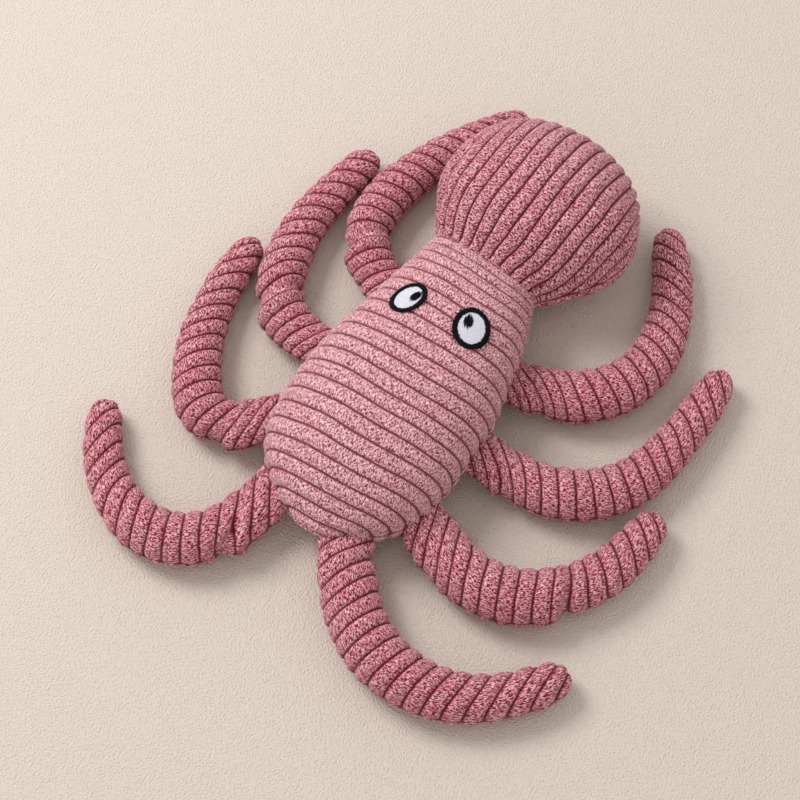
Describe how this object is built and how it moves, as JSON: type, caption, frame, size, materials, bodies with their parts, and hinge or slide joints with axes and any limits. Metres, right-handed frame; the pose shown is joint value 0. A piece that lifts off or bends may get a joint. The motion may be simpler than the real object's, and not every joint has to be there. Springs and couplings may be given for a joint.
{
  "type": "plush octopus",
  "caption": "Stuffed octopus of wide-wale corduroy with a bulb head, embroidered eyes and curling arms, lying face up on a flat back.",
  "frame": {"origin": "middle of the flat on the torso's back panel, which the toy lies on", "axes": "+Y up the torso to the head, +Z out of the face, +X to the viewer's right"},
  "size_m": [0.2771, 0.3138, 0.0791],
  "materials": {
    "torso_corduroy": "dusty pink wide-wale corduroy, brushed and speckled",
    "head_corduroy": "dusty pink wide-wale corduroy, brushed and speckled",
    "arm_corduroy": "deep rose wide-wale corduroy, brushed and speckled",
    "fibre_filling": "loose polyester fibre",
    "white_thread": "satin-stitched embroidery thread",
    "black_thread": "satin-stitched embroidery thread"
  },
  "bodies": {
    "torso": {"torso_front_panel": "torso_corduroy", "torso_back_panel": "torso_corduroy", "torso_filling": "fibre_filling", "eye_left_outline": "black_thread", "eye_left_white": "white_thread", "eye_left_pupil": "black_thread", "eye_right_outline": "black_thread", "eye_right_white": "white_thread", "eye_right_pupil": "black_thread"},
    "head": {"head_front_panel": "head_corduroy", "head_back_panel": "head_corduroy", "head_filling": "fibre_filling"},
    "arm_left_1": {"arm_left_1_upper_panel": "arm_corduroy", "arm_left_1_lower_panel": "arm_corduroy", "arm_left_1_filling": "fibre_filling"},
    "arm_left_2": {"arm_left_2_upper_panel": "arm_corduroy", "arm_left_2_lower_panel": "arm_corduroy", "arm_left_2_filling": "fibre_filling"},
    "arm_left_3": {"arm_left_3_upper_panel": "arm_corduroy", "arm_left_3_lower_panel": "arm_corduroy", "arm_left_3_filling": "fibre_filling"},
    "arm_left_4": {"arm_left_4_upper_panel": "arm_corduroy", "arm_left_4_lower_panel": "arm_corduroy", "arm_left_4_filling": "fibre_filling"},
    "arm_right_1": {"arm_right_1_upper_panel": "arm_corduroy", "arm_right_1_lower_panel": "arm_corduroy", "arm_right_1_filling": "fibre_filling"},
    "arm_right_2": {"arm_right_2_upper_panel": "arm_corduroy", "arm_right_2_lower_panel": "arm_corduroy", "arm_right_2_filling": "fibre_filling"},
    "arm_right_3": {"arm_right_3_upper_panel": "arm_corduroy", "arm_right_3_lower_panel": "arm_corduroy", "arm_right_3_filling": "fibre_filling"},
    "arm_right_4": {"arm_right_4_upper_panel": "arm_corduroy", "arm_right_4_lower_panel": "arm_corduroy", "arm_right_4_filling": "fibre_filling"}
  },
  "joints": [
    {"name": "neck_nod", "type": "hinge", "parent": "torso", "child": "head", "pos_m": [0.0037, 0.0819, 0.049], "axis": [0.9962, -0.0872, 0], "range_deg": [0, 30]},
    {"name": "arm_left_1_lift", "type": "hinge", "parent": "torso", "child": "arm_left_1", "pos_m": [-0.0332, 0.0537, 0.0255], "axis": [0.9336, 0.3584, 0], "range_deg": [0, 50]},
    {"name": "arm_left_2_lift", "type": "hinge", "parent": "torso", "child": "arm_left_2", "pos_m": [-0.048, 0.0095, 0.025], "axis": [0, 1, 0], "range_deg": [0, 50]},
    {"name": "arm_left_3_lift", "type": "hinge", "parent": "torso", "child": "arm_left_3", "pos_m": [-0.0489, -0.0371, 0.025], "axis": [-0.2588, 0.9659, 0], "range_deg": [0, 50]},
    {"name": "arm_left_4_lift", "type": "hinge", "parent": "torso", "child": "arm_left_4", "pos_m": [-0.0267, -0.0674, 0.0255], "axis": [-0.7071, 0.7071, 0], "range_deg": [0, 60]},
    {"name": "arm_right_1_lift", "type": "hinge", "parent": "torso", "child": "arm_right_1", "pos_m": [0.0433, 0.0419, 0.0255], "axis": [0.8192, -0.5736, 0], "range_deg": [0, 50]},
    {"name": "arm_right_2_lift", "type": "hinge", "parent": "torso", "child": "arm_right_2", "pos_m": [0.048, 0, 0.025], "axis": [-0.0872, -0.9962, 0], "range_deg": [0, 50]},
    {"name": "arm_right_3_lift", "type": "hinge", "parent": "torso", "child": "arm_right_3", "pos_m": [0.0444, -0.0454, 0.026], "axis": [-0.5736, -0.8192, 0], "range_deg": [0, 60]},
    {"name": "arm_right_4_lift", "type": "hinge", "parent": "torso", "child": "arm_right_4", "pos_m": [0.0167, -0.0722, 0.026], "axis": [-0.9659, -0.2588, 0], "range_deg": [0, 60]}
  ]
}
